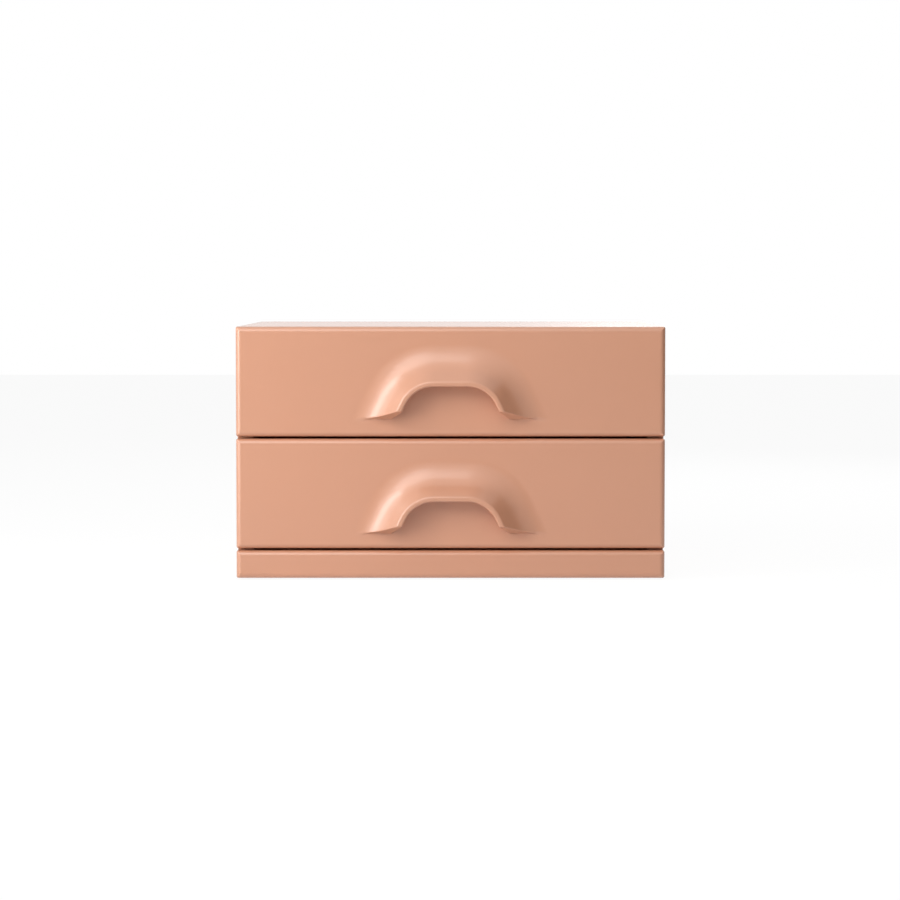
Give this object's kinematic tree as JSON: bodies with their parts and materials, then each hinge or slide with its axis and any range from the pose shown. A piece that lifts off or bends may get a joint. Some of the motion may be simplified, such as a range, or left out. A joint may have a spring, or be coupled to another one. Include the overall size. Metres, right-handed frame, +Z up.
{
  "type": "chest of drawers",
  "caption": "Low tabletop chest of stacked full-width drawers on roller runners, each front moulded with a wide flared arch handle, above a plain plinth.",
  "frame": {"origin": "middle of the whole footprint, handles included, on the surface the chest stands on", "axes": "+Z up, +X to the right as one faces the chest, fronts and handles face -Y"},
  "size_m": [0.4, 0.38, 0.237],
  "materials": {
    "lacquer": "fibreboard in a smooth satin-gloss peach lacquer",
    "drawer_board": "clear-sealed solid wood drawer boards",
    "drawer_bottom": "thin sealed plywood",
    "back_board": "thin fibreboard painted to match, a little duller",
    "beech": "raw beech",
    "white_steel": "folded steel with white epoxy coating",
    "zinc_steel": "zinc-plated steel",
    "nylon": "plain white nylon",
    "felt": "pressed felt",
    "soft_rubber": "soft translucent silicone"
  },
  "bodies": {
    "carcass": {"top_panel": "lacquer", "right_side_panel": "lacquer", "left_side_panel": "lacquer", "bottom_panel": "lacquer", "back_panel": "back_board", "plinth_board": "lacquer", "joint_tongues": "beech", "glide_pads": "felt", "closing_bumpers": "soft_rubber", "carcass_rail_screws": "zinc_steel", "carcass_roller_pins": "zinc_steel", "lower_right_carcass_rail": "white_steel", "lower_left_carcass_rail": "white_steel", "upper_right_carcass_rail": "white_steel", "upper_left_carcass_rail": "white_steel"},
    "lower_drawer": {"lower_drawer_front": "lacquer", "lower_box_right_side": "drawer_board", "lower_box_left_side": "drawer_board", "lower_box_back": "drawer_board", "lower_box_bottom": "drawer_bottom", "lower_right_drawer_rail": "white_steel", "lower_left_drawer_rail": "white_steel", "lower_drawer_rail_screws": "zinc_steel", "lower_drawer_roller_pins": "zinc_steel"},
    "upper_drawer": {"upper_drawer_front": "lacquer", "upper_box_right_side": "drawer_board", "upper_box_left_side": "drawer_board", "upper_box_back": "drawer_board", "upper_box_bottom": "drawer_bottom", "upper_right_drawer_rail": "white_steel", "upper_left_drawer_rail": "white_steel", "upper_drawer_rail_screws": "zinc_steel", "upper_drawer_roller_pins": "zinc_steel"},
    "lower_right_front_roller": {"lower_right_front_roller": "nylon"},
    "lower_left_front_roller": {"lower_left_front_roller": "nylon"},
    "lower_right_rear_roller": {"lower_right_rear_roller": "nylon"},
    "lower_left_rear_roller": {"lower_left_rear_roller": "nylon"},
    "upper_right_front_roller": {"upper_right_front_roller": "nylon"},
    "upper_left_front_roller": {"upper_left_front_roller": "nylon"},
    "upper_right_rear_roller": {"upper_right_rear_roller": "nylon"},
    "upper_left_rear_roller": {"upper_left_rear_roller": "nylon"}
  },
  "joints": [
    {"name": "lower_drawer_slide", "type": "slide", "parent": "carcass", "child": "lower_drawer", "axis": [0, -1, 0], "range_m": [0, 0.22]},
    {"name": "upper_drawer_slide", "type": "slide", "parent": "carcass", "child": "upper_drawer", "axis": [0, -1, 0], "range_m": [0, 0.22]},
    {"name": "lower_right_front_roller_spin", "type": "hinge", "parent": "carcass", "child": "lower_right_front_roller", "pos_m": [0.18, -0.1378, 0.0417], "axis": [1, 0, 0], "range_deg": [0, 1576]},
    {"name": "lower_left_front_roller_spin", "type": "hinge", "parent": "carcass", "child": "lower_left_front_roller", "pos_m": [-0.18, -0.1378, 0.0417], "axis": [1, 0, 0], "range_deg": [0, 1576]},
    {"name": "lower_right_rear_roller_spin", "type": "hinge", "parent": "lower_drawer", "child": "lower_right_rear_roller", "pos_m": [0.1767, 0.137, 0.0415], "axis": [1, 0, 0], "range_deg": [0, 1576]},
    {"name": "lower_left_rear_roller_spin", "type": "hinge", "parent": "lower_drawer", "child": "lower_left_rear_roller", "pos_m": [-0.1767, 0.137, 0.0415], "axis": [1, 0, 0], "range_deg": [0, 1576]},
    {"name": "upper_right_front_roller_spin", "type": "hinge", "parent": "carcass", "child": "upper_right_front_roller", "pos_m": [0.18, -0.1378, 0.1462], "axis": [1, 0, 0], "range_deg": [0, 1576]},
    {"name": "upper_left_front_roller_spin", "type": "hinge", "parent": "carcass", "child": "upper_left_front_roller", "pos_m": [-0.18, -0.1378, 0.1462], "axis": [1, 0, 0], "range_deg": [0, 1576]},
    {"name": "upper_right_rear_roller_spin", "type": "hinge", "parent": "upper_drawer", "child": "upper_right_rear_roller", "pos_m": [0.1767, 0.137, 0.146], "axis": [1, 0, 0], "range_deg": [0, 1576]},
    {"name": "upper_left_rear_roller_spin", "type": "hinge", "parent": "upper_drawer", "child": "upper_left_rear_roller", "pos_m": [-0.1767, 0.137, 0.146], "axis": [1, 0, 0], "range_deg": [0, 1576]}
  ],
  "couplings": [
    {"joint": "lower_right_front_roller_spin", "follows": "lower_drawer_slide", "rad_per_m": 125},
    {"joint": "lower_left_front_roller_spin", "follows": "lower_drawer_slide", "rad_per_m": 125},
    {"joint": "lower_right_rear_roller_spin", "follows": "lower_drawer_slide", "rad_per_m": 125},
    {"joint": "lower_left_rear_roller_spin", "follows": "lower_drawer_slide", "rad_per_m": 125},
    {"joint": "upper_right_front_roller_spin", "follows": "upper_drawer_slide", "rad_per_m": 125},
    {"joint": "upper_left_front_roller_spin", "follows": "upper_drawer_slide", "rad_per_m": 125},
    {"joint": "upper_right_rear_roller_spin", "follows": "upper_drawer_slide", "rad_per_m": 125},
    {"joint": "upper_left_rear_roller_spin", "follows": "upper_drawer_slide", "rad_per_m": 125}
  ]
}
